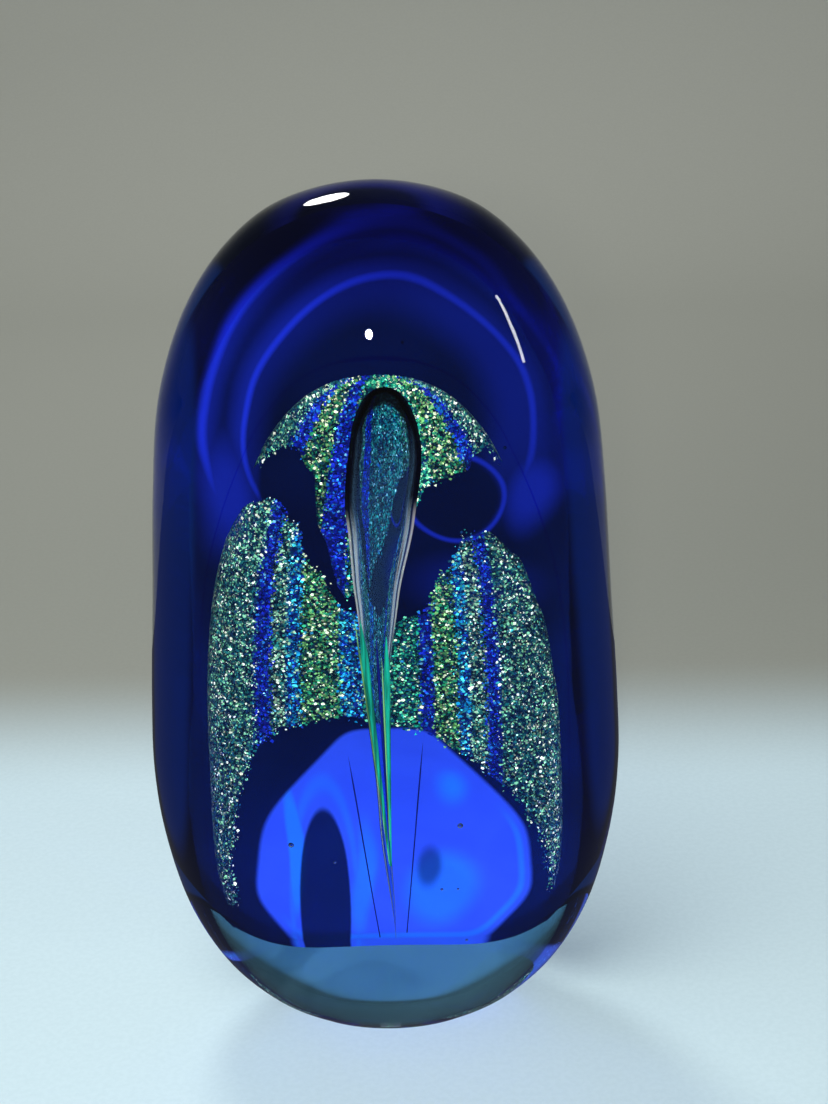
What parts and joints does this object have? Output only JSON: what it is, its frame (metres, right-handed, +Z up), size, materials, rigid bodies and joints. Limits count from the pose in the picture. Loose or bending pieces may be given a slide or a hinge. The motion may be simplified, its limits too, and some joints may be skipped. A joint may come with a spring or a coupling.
{
  "type": "paperweight",
  "caption": "Tall flattened ovoid paperweight of clear and cobalt glass, with a long teardrop bubble in front of a glittering dichroic hood and skirt.",
  "frame": {"origin": "centre of the flat ground base", "axes": "+Z up along the body's height, X across its broad face, -Y towards the front, the side the bubble and the strips are seen from"},
  "size_m": [0.07, 0.042, 0.132],
  "materials": {
    "casing_glass": "fire-polished clear glass with a slight steel-blue tint, ground and polished base",
    "core_glass": "clear glass",
    "front_glass": "clear glass",
    "cobalt_glass": "deep cobalt blue glass",
    "dichroic_silver_green": "glittering silver-green dichroic coating",
    "dichroic_blue": "glittering deep blue dichroic coating",
    "dichroic_gold": "glittering gold-green dichroic coating",
    "dichroic_green": "glittering green dichroic coating",
    "dichroic_silver": "glittering silver dichroic coating",
    "dichroic_cyan": "glittering cyan dichroic coating"
  },
  "bodies": {
    "root": {"outer_casing": "casing_glass", "core_gather": "core_glass", "cobalt_back_gather": "cobalt_glass", "clear_front_gather": "front_glass", "hood_strip_left_tip": "dichroic_silver_green", "hood_strip_left_blue": "dichroic_blue", "hood_strip_left_gold": "dichroic_gold", "hood_strip_centre_blue": "dichroic_blue", "hood_strip_centre_green": "dichroic_green", "hood_strip_right_gold": "dichroic_gold", "hood_strip_right_blue": "dichroic_blue", "hood_strip_right_tip": "dichroic_silver_green", "skirt_strip_left_wing": "dichroic_silver_green", "skirt_strip_left_outer_blue": "dichroic_blue", "skirt_strip_left_silver": "dichroic_silver", "skirt_strip_left_inner_blue": "dichroic_cyan", "skirt_strip_left_gold": "dichroic_gold", "skirt_strip_left_cyan": "dichroic_cyan", "skirt_strip_centre_green": "dichroic_green", "skirt_strip_right_green": "dichroic_green", "skirt_strip_right_inner_blue": "dichroic_blue", "skirt_strip_right_gold": "dichroic_gold", "skirt_strip_right_cyan": "dichroic_cyan", "skirt_strip_right_silver": "dichroic_silver", "skirt_strip_right_outer_blue": "dichroic_blue", "skirt_strip_right_wing": "dichroic_silver_green"}
  },
  "joints": []
}
